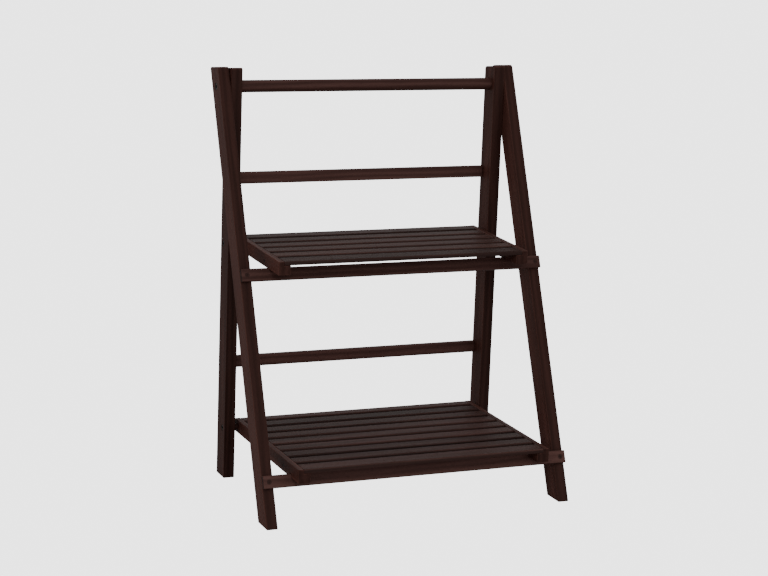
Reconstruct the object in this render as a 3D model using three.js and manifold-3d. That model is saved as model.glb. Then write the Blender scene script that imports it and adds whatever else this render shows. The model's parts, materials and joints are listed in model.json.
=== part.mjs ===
// Folding two-tier plant ladder stand in dark stained wood.
//
// Units are millimetres. +Z is up, +Y points to the back of the stand and +X to its right.
// The origin is on the floor, under the middle of the stand.
//
// The rear frame stands upright. The front frame leans back to it and turns about the top
// dowel. Both shelves pivot on the rear legs. The rails of each shelf are notched to hook
// over a crossbar of the front frame, which holds the stand open.

import * as THREE from 'three';
import { mergeVertices } from 'three/addons/utils/BufferGeometryUtils.js';
import Module from 'manifold-3d';

const wasm = await Module();
wasm.setup();

// ---------------------------------------------------------------- driving sizes

// Frame as a whole
const FRAME_WIDTH = 560;
const HINGE_HEIGHT = 697.5;
const FRONT_LEAN = THREE.MathUtils.degToRad(22.7);

// Clearances
const REST_GAP = 0.3;
const SLIDE_GAP = 1.1;
const HOOK_CLEARANCE = 0.5;
const HOOK_PLAY = 3;

// Legs
const LEG_THICKNESS = 20;
const LEG_DEPTH = 41;
const LEG_RISE = 29.3;
const LEG_TOP_RADIUS = 4;

// Bars of the front and rear frames. The rear bars are placed down the legs from the hinge.
const CROSSBAR_HEIGHT = 21.8;
const CROSSBAR_THICKNESS = 9;
const REAR_BAR_HEIGHT = 20.6;
const REAR_BAR_THICKNESS = 10;
const UPPER_REAR_BAR_DOWN = 162.5;
const LOWER_REAR_BAR_DOWN = 492.7;

// Top dowel
const DOWEL_RADIUS = 10.75;
const DOWEL_SEAT_DEPTH = 8;

// Shelf rails and slats
const RAIL_INSET = 49;
const RAIL_THICKNESS = 22;
const RAIL_HEIGHT = 23.5;
const RAIL_LIP = 10;
const SLAT_THICKNESS = 7;
const SLAT_SPACE = 4.5;
const FRONT_SLAT_WIDTH = 36;
const UPPER_REAR_SLAT_WIDTH = 34;
const LOWER_REAR_SLAT_WIDTH = 25.5;

// Each shelf: how high the top of its front edge is, how far it slopes down to the front,
// how far it stands out over its crossbar, how deep its hooks reach down that bar, and where
// on the rear legs it pivots, measured back from the hinge axis
const UPPER_SHELF_HEIGHT = 428.5;
const UPPER_SHELF_SLOPE = THREE.MathUtils.degToRad(1.3);
const UPPER_SHELF_OVERHANG = 51.5;
const UPPER_HOOK_DEPTH = 2.5;
const UPPER_PIVOT_BACK = 7.6;
const UPPER_SLAT_COUNT = 6;
const LOWER_SHELF_HEIGHT = 102.7;
const LOWER_SHELF_SLOPE = 0;
const LOWER_SHELF_OVERHANG = 35.7;
const LOWER_HOOK_DEPTH = 7.3;
const LOWER_PIVOT_BACK = -7.6;
const LOWER_SLAT_COUNT = 9;

// Shelf pivots, placed from the rear end and the underside of the rail
const PIVOT_FROM_REAR = 12.5;
const PIVOT_ABOVE_UNDERSIDE = 11;

// Stretcher under the slats, placed from the front end of the rail
const STRETCHER_FROM_FRONT = 74;
const STRETCHER_DEPTH = 12;
const STRETCHER_HEIGHT = 14;
const STRETCHER_DROP = 0.5;

// Hinge bolts and their washers
const HINGE_SHANK_RADIUS = 3;
const HINGE_HEAD_RADIUS = 6.5;
const HINGE_HEAD_HEIGHT = 4;
const HINGE_HEAD_SINK = 0.7;
const HINGE_TIP_IN_DOWEL = 20;
const HINGE_WASHER_RADIUS = 9;

// Shelf pivot bolts, spacers and nuts
const PIVOT_SHANK_RADIUS = 3;
const PIVOT_HEAD_RADIUS = 5.5;
const PIVOT_HEAD_HEIGHT = 3.5;
const PIVOT_HEAD_SINK = 0.6;
const PIVOT_TIP_PAST_NUT = 1.5;
const SPACER_RADIUS = 6;
const NUT_FLAT_RADIUS = 4.5;
const NUT_THICKNESS = 5;

// Wood screws
const SCREW_HEAD_RADIUS = 3.8;
const SCREW_HEAD_HEIGHT = 2.6;
const SCREW_SHANK_RADIUS = 2;
const SCREW_POINT = 4;
const SCREW_SINK = 0.4;
const SCREW_BITE = 16;
const RECESS_RADIUS = 1.6;
const RECESS_DEPTH = 1.4;

// Eased edges and roundness
const LEG_EDGE = 1.2;
const BAR_EDGE = 0.8;
const BAR_CORNER = 1.6;
const SLAT_EDGE = 0.6;
const SLAT_CORNER = 1.5;
const RAIL_EDGE = 0.8;
const RAIL_CORNER = 1.5;
const METAL_EDGE = 0.5;
const CORNER_STEPS = 2;
const TOP_STEPS = 6;
const ROUND_STEPS = 32;
const FASTENER_STEPS = 16;
const HEX_STEPS = 6;
const CUT_OVERRUN = 2;
const WELD_DISTANCE = 1e-4;

// Finishes
const LEG_WOOD = { color: 0x35211d, roughness: 0.55, metalness: 0 };
const BAR_WOOD = { color: 0x33201c, roughness: 0.55, metalness: 0 };
const RAIL_WOOD = { color: 0x3a2723, roughness: 0.52, metalness: 0 };
const SLAT_WOOD = { color: 0x443330, roughness: 0.5, metalness: 0 };
const DARK_STEEL = { color: 0x1d1a19, roughness: 0.42, metalness: 0.85 };

// ---------------------------------------------------------------- places that follow

const HALF_WIDTH = FRAME_WIDTH / 2;
const HALF_DEPTH = LEG_DEPTH / 2;
const FRONT_LEG_MIDDLE = HALF_WIDTH - LEG_THICKNESS / 2;
const REAR_LEG_OUTSIDE = HALF_WIDTH - LEG_THICKNESS - SLIDE_GAP;
const REAR_LEG_MIDDLE = REAR_LEG_OUTSIDE - LEG_THICKNESS / 2;
const REAR_LEG_INSIDE = REAR_LEG_OUTSIDE - LEG_THICKNESS;
const RAIL_OUTSIDE = HALF_WIDTH - RAIL_INSET;
const RAIL_INSIDE = RAIL_OUTSIDE - RAIL_THICKNESS;
const FRONT_TURN = -FRONT_LEAN;
const REAR_TURN = 0;
const HINGE_HOLE_RADIUS = HINGE_SHANK_RADIUS + REST_GAP;
const PIVOT_HOLE_RADIUS = PIVOT_SHANK_RADIUS + REST_GAP;
const SCREW_HOLE_RADIUS = SCREW_SHANK_RADIUS + REST_GAP;
const RAIL_TOP = RAIL_HEIGHT - PIVOT_ABOVE_UNDERSIDE;
const SLAT_SEAT = RAIL_TOP - SLAT_THICKNESS - REST_GAP;
const STRETCHER_TOP = SLAT_SEAT - STRETCHER_DROP;
const SIDES = [{ name: 'left', sign: -1 }, { name: 'right', sign: 1 }];

const LOWER_SHELF = {
  name: 'lower',
  height: LOWER_SHELF_HEIGHT,
  slope: LOWER_SHELF_SLOPE,
  overhang: LOWER_SHELF_OVERHANG,
  hookDepth: LOWER_HOOK_DEPTH,
  pivotBack: LOWER_PIVOT_BACK,
  slats: LOWER_SLAT_COUNT,
  rearSlat: LOWER_REAR_SLAT_WIDTH,
};
const UPPER_SHELF = {
  name: 'upper',
  height: UPPER_SHELF_HEIGHT,
  slope: UPPER_SHELF_SLOPE,
  overhang: UPPER_SHELF_OVERHANG,
  hookDepth: UPPER_HOOK_DEPTH,
  pivotBack: UPPER_PIVOT_BACK,
  slats: UPPER_SLAT_COUNT,
  rearSlat: UPPER_REAR_SLAT_WIDTH,
};
const SHELVES = [UPPER_SHELF, LOWER_SHELF];
const REAR_BARS = [
  { name: 'upper', down: UPPER_REAR_BAR_DOWN },
  { name: 'lower', down: LOWER_REAR_BAR_DOWN },
];

// ---------------------------------------------------------------- side-view helpers

// Points of the side view are [y, z]; turning is about the X axis.
function turned(point, angle) {
  const [y, z] = point;
  return [
    y * Math.cos(angle) - z * Math.sin(angle),
    y * Math.sin(angle) + z * Math.cos(angle),
  ];
}

// Level of the front top edge of the crossbar that a shelf hooks over, from the hinge axis
function hookedEdge(shelf) {
  const underside = shelf.height - RAIL_HEIGHT / Math.cos(shelf.slope);
  const rise = shelf.overhang * Math.tan(shelf.slope);
  return underside + rise + shelf.hookDepth - HINGE_HEIGHT;
}

// How far down the front legs that crossbar is, from the hinge to the middle of the bar
function crossbarDown(shelf) {
  const along = hookedEdge(shelf) + crossbarFace() * Math.sin(FRONT_LEAN);
  return CROSSBAR_HEIGHT / 2 - along / Math.cos(FRONT_LEAN);
}

// How far a shelf's front edge stands in front of the hinge axis
function shelfFront(shelf) {
  const edge = [crossbarFace(), CROSSBAR_HEIGHT / 2 - crossbarDown(shelf)];
  return shelf.overhang - turned(edge, FRONT_TURN)[0];
}

// How deep a shelf is from front to back, so that its pivot lies on the rear legs
function shelfDepth(shelf) {
  const reach = shelfFront(shelf) + shelf.pivotBack - RAIL_TOP * Math.sin(shelf.slope);
  return PIVOT_FROM_REAR + reach / Math.cos(shelf.slope);
}

function pivotOf(shelf) {
  const frontTop = turned([railFront(shelf), RAIL_TOP], shelf.slope);
  return [shelf.pivotBack, shelf.height - frontTop[1]];
}

// A place on a leg, given across and along the leg, seen from the shelf's own pivot
function seenFromShelf(shelf, across, along, turn) {
  const pivot = pivotOf(shelf);
  const place = turned([across, along], turn);
  return turned([place[0] - pivot[0], place[1] + HINGE_HEIGHT - pivot[1]], -shelf.slope);
}

function pivotOnRearLeg(shelf) {
  const [y, z] = pivotOf(shelf);
  return [y, z - HINGE_HEIGHT];
}

function outline(points) {
  const shape = new THREE.Shape();
  points.forEach(([y, z], index) => {
    if (index === 0) shape.moveTo(y, z);
    else shape.lineTo(y, z);
  });
  shape.closePath();
  return shape;
}

function roundedBox(yMiddle, zMiddle, depth, height, radius) {
  const y = depth / 2 - radius;
  const z = height / 2 - radius;
  const shape = new THREE.Shape();
  shape.absarc(yMiddle + y, zMiddle - z, radius, -Math.PI / 2, 0);
  shape.absarc(yMiddle + y, zMiddle + z, radius, 0, Math.PI / 2);
  shape.absarc(yMiddle - y, zMiddle + z, radius, Math.PI / 2, Math.PI);
  shape.absarc(yMiddle - y, zMiddle - z, radius, Math.PI, 1.5 * Math.PI);
  shape.closePath();
  return shape;
}

// ---------------------------------------------------------------- solid helpers

// Extrudes a side-view shape along X, centred on x = 0, with eased edges round both ends.
function across(shape, width, edge, steps = CORNER_STEPS) {
  const eased = edge > 0;
  const geometry = new THREE.ExtrudeGeometry(shape, {
    depth: width - 2 * edge,
    steps: 1,
    curveSegments: steps,
    bevelEnabled: eased,
    bevelThickness: edge,
    bevelSize: edge,
    bevelOffset: -edge,
    bevelSegments: 1,
  });
  geometry.translate(0, 0, edge - width / 2);
  const basis = new THREE.Matrix4().makeBasis(
    new THREE.Vector3(0, 1, 0),
    new THREE.Vector3(0, 0, 1),
    new THREE.Vector3(1, 0, 0),
  );
  return geometry.applyMatrix4(basis);
}

function rodAlongX(radius, length, x, y, z, steps = FASTENER_STEPS) {
  const geometry = new THREE.CylinderGeometry(radius, radius, length, steps);
  geometry.rotateZ(-Math.PI / 2);
  return geometry.translate(x, y, z);
}

function solidOf(geometry) {
  const bare = geometry.clone();
  bare.deleteAttribute('normal');
  bare.deleteAttribute('uv');
  const welded = mergeVertices(bare, WELD_DISTANCE);
  return new wasm.Manifold(new wasm.Mesh({
    numProp: 3,
    vertProperties: new Float32Array(welded.attributes.position.array),
    triVerts: new Uint32Array(welded.index.array),
  }));
}

function geometryOf(solid) {
  const mesh = solid.getMesh();
  const geometry = new THREE.BufferGeometry();
  geometry.setAttribute('position', new THREE.BufferAttribute(mesh.vertProperties, 3));
  geometry.setIndex(new THREE.BufferAttribute(mesh.triVerts, 1));
  const faceted = geometry.toNonIndexed();
  faceted.computeVertexNormals();
  return faceted;
}

function cut(geometry, tools) {
  let solid = solidOf(geometry);
  for (const tool of tools) solid = solid.subtract(solidOf(tool));
  return geometryOf(solid);
}

// ---------------------------------------------------------------- fasteners

// Lathe profiles are [radius, height] pairs from the tip up to the top of the head at 0.
function turnedPiece(profile) {
  const points = profile.map(([radius, height]) => new THREE.Vector2(radius, height));
  return new THREE.LatheGeometry(points, FASTENER_STEPS);
}

function screwProfile(length) {
  return [
    [0, -length],
    [SCREW_SHANK_RADIUS, SCREW_POINT - length],
    [SCREW_SHANK_RADIUS, -SCREW_HEAD_HEIGHT],
    [SCREW_HEAD_RADIUS, -METAL_EDGE],
    [SCREW_HEAD_RADIUS, 0],
    [RECESS_RADIUS, 0],
    [RECESS_RADIUS - METAL_EDGE, -RECESS_DEPTH],
    [0, -RECESS_DEPTH],
  ];
}

// The hole a countersunk screw sits in, a little larger all round
function screwSeatProfile(length) {
  const head = SCREW_HEAD_RADIUS + REST_GAP;
  return [
    [0, -length - REST_GAP],
    [SCREW_HOLE_RADIUS, SCREW_POINT - length - REST_GAP],
    [SCREW_HOLE_RADIUS, -SCREW_HEAD_HEIGHT - REST_GAP],
    [head, -METAL_EDGE - REST_GAP],
    [head, CUT_OVERRUN],
    [0, CUT_OVERRUN],
  ];
}

function boltProfile(shank, head, headHeight, length) {
  return [
    [0, -length],
    [shank - METAL_EDGE, -length],
    [shank, METAL_EDGE - length],
    [shank, -headHeight],
    [head, -headHeight],
    [head, -METAL_EDGE],
    [head - METAL_EDGE, 0],
    [0, 0],
  ];
}

// A bolt whose head top is at height 0, with a hexagon socket sunk into the head
function socketBolt(shank, head, headHeight, length) {
  const socketDepth = headHeight / 2;
  const socket = new THREE.CylinderGeometry(head / 2, head / 2, 2 * socketDepth, HEX_STEPS);
  return cut(turnedPiece(boltProfile(shank, head, headHeight, length)), [socket]);
}

// Lays a fastener made along +Y so that its head points out to one side of the stand.
function pointOutwards(geometry, sign) {
  return geometry.rotateZ(-sign * Math.PI / 2);
}

// Lays a fastener made along +Y so that its head points to the front.
function pointForwards(geometry) {
  return geometry.rotateX(Math.PI);
}

// A round bore through a flat ring or nut
function bored(geometry, radius, length) {
  return cut(geometry, [rodAlongX(radius, length, 0, 0, 0)]);
}

// ---------------------------------------------------------------- legs

function legOutline(turn) {
  const foot = (y) => (-HINGE_HEIGHT - y * Math.sin(turn)) / Math.cos(turn);
  const corner = HALF_DEPTH - LEG_TOP_RADIUS;
  const shoulder = LEG_RISE - LEG_TOP_RADIUS;
  const shape = new THREE.Shape();
  shape.moveTo(-HALF_DEPTH, foot(-HALF_DEPTH));
  shape.lineTo(HALF_DEPTH, foot(HALF_DEPTH));
  shape.absarc(corner, shoulder, LEG_TOP_RADIUS, 0, Math.PI / 2);
  shape.absarc(-corner, shoulder, LEG_TOP_RADIUS, Math.PI / 2, Math.PI);
  shape.closePath();
  return shape;
}

function stood(geometry, x, turn) {
  geometry.rotateX(turn);
  return geometry.translate(x, 0, HINGE_HEIGHT);
}

function frontLeg(sign) {
  const blank = across(legOutline(FRONT_TURN), LEG_THICKNESS, LEG_EDGE, TOP_STEPS);
  const outside = sign * LEG_THICKNESS / 2;
  const headDepth = HINGE_HEAD_HEIGHT + HINGE_HEAD_SINK + REST_GAP;
  const headHole = HINGE_HEAD_RADIUS + REST_GAP;
  const tools = [
    rodAlongX(HINGE_HOLE_RADIUS, LEG_THICKNESS + CUT_OVERRUN, 0, 0, 0),
    rodAlongX(headHole, 2 * headDepth, outside, 0, 0, ROUND_STEPS),
  ];
  for (const shelf of SHELVES) {
    const seat = pointForwards(turnedPiece(screwSeatProfile(crossbarScrewLength())));
    tools.push(seat.translate(0, crossbarFace() + SCREW_SINK, -crossbarDown(shelf)));
  }
  return stood(cut(blank, tools), sign * FRONT_LEG_MIDDLE, FRONT_TURN);
}

function rearLeg(sign) {
  const blank = across(legOutline(REAR_TURN), LEG_THICKNESS, LEG_EDGE, TOP_STEPS);
  const outside = sign * LEG_THICKNESS / 2;
  const headDepth = PIVOT_HEAD_HEIGHT + PIVOT_HEAD_SINK + REST_GAP;
  const headHole = PIVOT_HEAD_RADIUS + REST_GAP;
  const through = LEG_THICKNESS + CUT_OVERRUN;
  const dowelHole = DOWEL_RADIUS + REST_GAP;
  const tools = [
    rodAlongX(HINGE_HOLE_RADIUS, through, 0, 0, 0),
    rodAlongX(dowelHole, 2 * DOWEL_SEAT_DEPTH, -outside, 0, 0, ROUND_STEPS),
  ];
  for (const shelf of SHELVES) {
    const [y, z] = pivotOnRearLeg(shelf);
    tools.push(rodAlongX(PIVOT_HOLE_RADIUS, through, 0, y, z));
    tools.push(rodAlongX(headHole, 2 * headDepth, outside, y, z));
  }
  for (const bar of REAR_BARS) {
    const seat = pointOutwards(turnedPiece(screwSeatProfile(rearBarScrewLength())), sign);
    tools.push(seat.translate(outside - sign * SCREW_SINK, rearBarMiddle(), -bar.down));
  }
  return stood(cut(blank, tools), sign * REAR_LEG_MIDDLE, REAR_TURN);
}

// ---------------------------------------------------------------- bars and dowel

// Front face of a crossbar and middle of a rear bar, measured across their legs
function crossbarFace() {
  return -HALF_DEPTH - REST_GAP - CROSSBAR_THICKNESS;
}

function rearBarMiddle() {
  return HALF_DEPTH - REAR_BAR_THICKNESS / 2;
}

function crossbarScrewLength() {
  return CROSSBAR_THICKNESS + REST_GAP + SCREW_BITE;
}

function rearBarScrewLength() {
  return LEG_THICKNESS + REST_GAP + SCREW_BITE;
}

function railScrewLength() {
  return RAIL_THICKNESS + REST_GAP + SCREW_BITE;
}

function crossbar(down) {
  const middle = crossbarFace() + CROSSBAR_THICKNESS / 2;
  const section = roundedBox(middle, -down, CROSSBAR_THICKNESS, CROSSBAR_HEIGHT, BAR_CORNER);
  const tools = SIDES.map(({ sign }) => {
    const seat = pointForwards(turnedPiece(screwSeatProfile(crossbarScrewLength())));
    return seat.translate(sign * FRONT_LEG_MIDDLE, crossbarFace() + SCREW_SINK, -down);
  });
  return stood(cut(across(section, FRAME_WIDTH, BAR_EDGE), tools), 0, FRONT_TURN);
}

function rearBar(down) {
  const length = 2 * (REAR_LEG_INSIDE - REST_GAP);
  const middle = rearBarMiddle();
  const section = roundedBox(middle, -down, REAR_BAR_THICKNESS, REAR_BAR_HEIGHT, BAR_CORNER);
  const tools = SIDES.map(({ sign }) => {
    const seat = pointOutwards(turnedPiece(screwSeatProfile(rearBarScrewLength())), sign);
    return seat.translate(sign * (REAR_LEG_OUTSIDE - SCREW_SINK), middle, -down);
  });
  return stood(cut(across(section, length, BAR_EDGE), tools), 0, REAR_TURN);
}

function topDowel() {
  const reach = REAR_LEG_INSIDE + DOWEL_SEAT_DEPTH - REST_GAP;
  const profile = [
    [0, -reach],
    [DOWEL_RADIUS - BAR_EDGE, -reach],
    [DOWEL_RADIUS, BAR_EDGE - reach],
    [DOWEL_RADIUS, reach - BAR_EDGE],
    [DOWEL_RADIUS - BAR_EDGE, reach],
    [0, reach],
  ];
  const points = profile.map(([radius, height]) => new THREE.Vector2(radius, height));
  const rod = new THREE.LatheGeometry(points, ROUND_STEPS).rotateZ(-Math.PI / 2);
  const pilot = HINGE_TIP_IN_DOWEL + REST_GAP;
  const tools = SIDES.map(({ sign }) => (
    rodAlongX(HINGE_HOLE_RADIUS, 2 * pilot, sign * reach, 0, 0)
  ));
  return cut(rod, tools).translate(0, 0, HINGE_HEIGHT);
}

// ---------------------------------------------------------------- hinge hardware

function hingeBolt(sign) {
  const head = HALF_WIDTH - HINGE_HEAD_SINK;
  const dowelEnd = REAR_LEG_INSIDE + DOWEL_SEAT_DEPTH - REST_GAP;
  const length = head - dowelEnd + HINGE_TIP_IN_DOWEL;
  const bolt = socketBolt(HINGE_SHANK_RADIUS, HINGE_HEAD_RADIUS, HINGE_HEAD_HEIGHT, length);
  return pointOutwards(bolt, sign).translate(sign * head, 0, HINGE_HEIGHT);
}

function hingeWasher(sign) {
  const thickness = SLIDE_GAP - 2 * REST_GAP;
  const disc = rodAlongX(HINGE_WASHER_RADIUS, thickness, 0, 0, 0, ROUND_STEPS);
  const ring = bored(disc, HINGE_HOLE_RADIUS, thickness + CUT_OVERRUN);
  return ring.translate(sign * (REAR_LEG_OUTSIDE + SLIDE_GAP / 2), 0, HINGE_HEIGHT);
}

function pivotBolt(shelf, sign) {
  const [y, z] = pivotOf(shelf);
  const head = REAR_LEG_OUTSIDE - PIVOT_HEAD_SINK;
  const tip = RAIL_INSIDE - REST_GAP - NUT_THICKNESS - PIVOT_TIP_PAST_NUT;
  const bolt = socketBolt(PIVOT_SHANK_RADIUS, PIVOT_HEAD_RADIUS, PIVOT_HEAD_HEIGHT, head - tip);
  return pointOutwards(bolt, sign).translate(sign * head, y, z);
}

function pivotSpacer(shelf, sign) {
  const [y, z] = pivotOf(shelf);
  const length = REAR_LEG_INSIDE - RAIL_OUTSIDE - 2 * REST_GAP;
  const sleeve = rodAlongX(SPACER_RADIUS, length, 0, 0, 0);
  const ring = bored(sleeve, PIVOT_HOLE_RADIUS, length + CUT_OVERRUN);
  return ring.translate(sign * (REAR_LEG_INSIDE + RAIL_OUTSIDE) / 2, y, z);
}

function pivotNut(shelf, sign) {
  const [y, z] = pivotOf(shelf);
  const corner = NUT_FLAT_RADIUS / Math.cos(Math.PI / HEX_STEPS);
  const block = rodAlongX(corner, NUT_THICKNESS, 0, 0, 0, HEX_STEPS);
  block.rotateX(shelf.slope);
  const nut = bored(block, PIVOT_HOLE_RADIUS, NUT_THICKNESS + CUT_OVERRUN);
  return nut.translate(sign * (RAIL_INSIDE - REST_GAP - NUT_THICKNESS / 2), y, z);
}

// ---------------------------------------------------------------- screws

function crossbarScrew(down, sign) {
  const screw = pointForwards(turnedPiece(screwProfile(crossbarScrewLength())));
  screw.translate(sign * FRONT_LEG_MIDDLE, crossbarFace() + SCREW_SINK, -down);
  return stood(screw, 0, FRONT_TURN);
}

function rearBarScrew(down, sign) {
  const screw = pointOutwards(turnedPiece(screwProfile(rearBarScrewLength())), sign);
  screw.translate(sign * (REAR_LEG_OUTSIDE - SCREW_SINK), rearBarMiddle(), -down);
  return stood(screw, 0, REAR_TURN);
}

function railScrew(shelf, sign) {
  const screw = pointOutwards(turnedPiece(screwProfile(railScrewLength())), sign);
  screw.translate(sign * (RAIL_OUTSIDE - SCREW_SINK), stretcherPlace(shelf), stretcherLevel());
  return hung(screw, shelf);
}

// ---------------------------------------------------------------- shelves

// Shelf pieces are made about the pivot, level, and then hung at the shelf's own slope.
function hung(geometry, shelf) {
  const [y, z] = pivotOf(shelf);
  geometry.rotateX(shelf.slope);
  return geometry.translate(0, y, z);
}

function railFront(shelf) {
  return PIVOT_FROM_REAR - shelfDepth(shelf);
}

function stretcherPlace(shelf) {
  return railFront(shelf) + STRETCHER_FROM_FRONT;
}

function stretcherLevel() {
  return STRETCHER_TOP - STRETCHER_HEIGHT / 2;
}

// The hook: a notch under the rail that fits the leaning top of the crossbar. Its front wall
// and roof follow the crossbar. Its rear wall stands back, so that the crossbar can leave
// down and backwards while the rail swings up.
function hookNotch(shelf) {
  const top = CROSSBAR_HEIGHT / 2 - crossbarDown(shelf) + REST_GAP;
  const front = crossbarFace() - HOOK_CLEARANCE;
  const rear = -HALF_DEPTH - REST_GAP + HOOK_PLAY;
  const deep = top - 2 * RAIL_HEIGHT;
  const frontTop = seenFromShelf(shelf, front, top, FRONT_TURN);
  const rearTop = seenFromShelf(shelf, rear, top, FRONT_TURN);
  const frontLow = seenFromShelf(shelf, front, deep, FRONT_TURN);
  const rearLow = [rearTop[0], frontLow[1]];
  const shape = outline([frontLow, rearLow, rearTop, frontTop]);
  return across(shape, RAIL_THICKNESS + CUT_OVERRUN, 0);
}

function shelfRail(shelf, sign) {
  const middle = (PIVOT_FROM_REAR + railFront(shelf)) / 2;
  const level = RAIL_TOP - RAIL_HEIGHT / 2;
  const depth = shelfDepth(shelf);
  const side = roundedBox(middle, level, depth, RAIL_HEIGHT, RAIL_CORNER);
  const blank = across(side, RAIL_THICKNESS, RAIL_EDGE);
  const seatWidth = RAIL_THICKNESS - RAIL_LIP + CUT_OVERRUN;
  const seat = new THREE.BoxGeometry(seatWidth, depth + CUT_OVERRUN, RAIL_HEIGHT);
  seat.translate(-sign * (RAIL_LIP + CUT_OVERRUN) / 2, middle, SLAT_SEAT + RAIL_HEIGHT / 2);
  const screw = pointOutwards(turnedPiece(screwSeatProfile(railScrewLength())), sign);
  const outside = sign * (RAIL_THICKNESS / 2 - SCREW_SINK);
  const tools = [
    seat,
    hookNotch(shelf),
    rodAlongX(PIVOT_HOLE_RADIUS, RAIL_THICKNESS + CUT_OVERRUN, 0, 0, 0),
    screw.translate(outside, stretcherPlace(shelf), stretcherLevel()),
  ];
  const rail = cut(blank, tools);
  return hung(rail.translate(sign * (RAIL_OUTSIDE - RAIL_THICKNESS / 2), 0, 0), shelf);
}

function shelfStretcher(shelf) {
  const place = stretcherPlace(shelf);
  const level = stretcherLevel();
  const section = roundedBox(place, level, STRETCHER_DEPTH, STRETCHER_HEIGHT, BAR_CORNER);
  const blank = across(section, 2 * (RAIL_INSIDE - REST_GAP), BAR_EDGE);
  const tools = SIDES.map(({ sign }) => {
    const screw = pointOutwards(turnedPiece(screwSeatProfile(railScrewLength())), sign);
    return screw.translate(sign * (RAIL_OUTSIDE - SCREW_SINK), place, level);
  });
  return hung(cut(blank, tools), shelf);
}

// The slats between the front and the rear one share what is left of the shelf's depth
function slatWidth(shelf, index) {
  if (index === 0) return FRONT_SLAT_WIDTH;
  if (index === shelf.slats - 1) return shelf.rearSlat;
  const spaces = (shelf.slats - 1) * SLAT_SPACE;
  const rest = shelfDepth(shelf) - FRONT_SLAT_WIDTH - shelf.rearSlat - spaces;
  return rest / (shelf.slats - 2);
}

function shelfSlat(shelf, index) {
  let start = railFront(shelf);
  for (let before = 0; before < index; before += 1) {
    start += slatWidth(shelf, before) + SLAT_SPACE;
  }
  const width = slatWidth(shelf, index);
  const level = RAIL_TOP - SLAT_THICKNESS / 2;
  const section = roundedBox(start + width / 2, level, width, SLAT_THICKNESS, SLAT_CORNER);
  const length = 2 * (RAIL_OUTSIDE - RAIL_LIP - REST_GAP);
  return hung(across(section, length, SLAT_EDGE), shelf);
}

// ---------------------------------------------------------------- assembly

const stand = new THREE.Group();
stand.name = 'plant_ladder_stand';

// From the middle of the stand's depth back to the hinge axis. The lower shelf reaches
// furthest forward, and the rounded tops of the leaning front legs furthest back.
function middleToHinge() {
  const corner = [HALF_DEPTH - LEG_TOP_RADIUS, LEG_RISE - LEG_TOP_RADIUS];
  const rearmost = turned(corner, FRONT_TURN)[0] + LEG_TOP_RADIUS;
  return (shelfFront(LOWER_SHELF) - rearmost) / 2;
}

function add(name, geometry, finish) {
  geometry.translate(0, middleToHinge(), 0);
  const mesh = new THREE.Mesh(geometry, new THREE.MeshStandardMaterial({ name, ...finish }));
  mesh.name = name;
  stand.add(mesh);
}

for (const side of SIDES) {
  add(`front_leg_${side.name}`, frontLeg(side.sign), LEG_WOOD);
  add(`rear_leg_${side.name}`, rearLeg(side.sign), LEG_WOOD);
  add(`hinge_bolt_${side.name}`, hingeBolt(side.sign), DARK_STEEL);
  add(`hinge_washer_${side.name}`, hingeWasher(side.sign), DARK_STEEL);
}

add('top_dowel', topDowel(), BAR_WOOD);

for (const bar of REAR_BARS) {
  add(`rear_bar_${bar.name}`, rearBar(bar.down), BAR_WOOD);
  for (const side of SIDES) {
    add(`rear_bar_${bar.name}_screw_${side.name}`, rearBarScrew(bar.down, side.sign), DARK_STEEL);
  }
}

for (const shelf of SHELVES) {
  const { name } = shelf;
  const down = crossbarDown(shelf);
  add(`crossbar_${name}`, crossbar(down), BAR_WOOD);
  add(`${name}_shelf_stretcher`, shelfStretcher(shelf), RAIL_WOOD);
  for (const side of SIDES) {
    const { sign } = side;
    add(`crossbar_${name}_screw_${side.name}`, crossbarScrew(down, sign), DARK_STEEL);
    add(`${name}_shelf_rail_${side.name}`, shelfRail(shelf, sign), RAIL_WOOD);
    add(`${name}_shelf_screw_${side.name}`, railScrew(shelf, sign), DARK_STEEL);
    add(`${name}_pivot_bolt_${side.name}`, pivotBolt(shelf, sign), DARK_STEEL);
    add(`${name}_pivot_spacer_${side.name}`, pivotSpacer(shelf, sign), DARK_STEEL);
    add(`${name}_pivot_nut_${side.name}`, pivotNut(shelf, sign), DARK_STEEL);
  }
  for (let index = 0; index < shelf.slats; index += 1) {
    add(`${name}_slat_${index + 1}`, shelfSlat(shelf, index), SLAT_WOOD);
  }
}

export default stand;
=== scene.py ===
import json
import math

import bpy
from mathutils import Matrix, Vector


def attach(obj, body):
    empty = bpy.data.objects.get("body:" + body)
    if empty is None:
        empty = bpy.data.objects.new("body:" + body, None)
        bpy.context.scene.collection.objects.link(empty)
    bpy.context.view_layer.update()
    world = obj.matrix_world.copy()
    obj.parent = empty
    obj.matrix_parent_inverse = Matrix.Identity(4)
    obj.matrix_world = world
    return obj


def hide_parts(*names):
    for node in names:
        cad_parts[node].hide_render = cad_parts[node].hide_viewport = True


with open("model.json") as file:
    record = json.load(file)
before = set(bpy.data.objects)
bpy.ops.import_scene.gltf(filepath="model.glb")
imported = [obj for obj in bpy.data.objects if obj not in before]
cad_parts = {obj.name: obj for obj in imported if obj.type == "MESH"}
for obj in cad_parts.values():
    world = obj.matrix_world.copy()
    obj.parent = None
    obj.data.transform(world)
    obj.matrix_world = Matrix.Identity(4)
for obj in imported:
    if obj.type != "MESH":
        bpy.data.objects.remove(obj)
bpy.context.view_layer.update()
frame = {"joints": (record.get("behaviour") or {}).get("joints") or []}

# ------------------------------------------------------------------ sizes, in metres

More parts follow.
